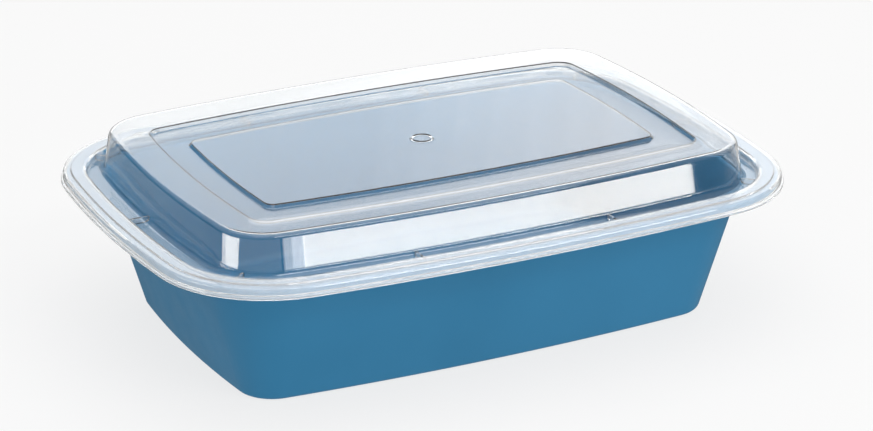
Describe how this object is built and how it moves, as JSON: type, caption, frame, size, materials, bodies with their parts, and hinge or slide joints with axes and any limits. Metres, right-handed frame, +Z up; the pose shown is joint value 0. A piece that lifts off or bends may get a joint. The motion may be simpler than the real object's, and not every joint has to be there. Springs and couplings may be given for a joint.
{
  "type": "snap lid food container",
  "caption": "Rectangular food storage container with bowed sides: a drafted coloured tray and a clear domed lid that snaps over its rim.",
  "frame": {"origin": "middle of the underside of the tray's foot, on the surface that the container stands on", "axes": "+X along the long side, +Y along the short side, +Z up, the way the lid lifts"},
  "size_m": [0.226, 0.16, 0.0613],
  "materials": {
    "tray_plastic": "satin moulded polypropylene",
    "lid_plastic": "clear glossy polypropylene with a slight haze"
  },
  "bodies": {
    "tray": {"base_tray": "tray_plastic"},
    "lid": {"snap_lid": "lid_plastic"}
  },
  "joints": [
    {"name": "lid_lift", "type": "slide", "parent": "tray", "child": "lid", "axis": [0, 0, 1], "range_m": [0, 0.1]}
  ]
}
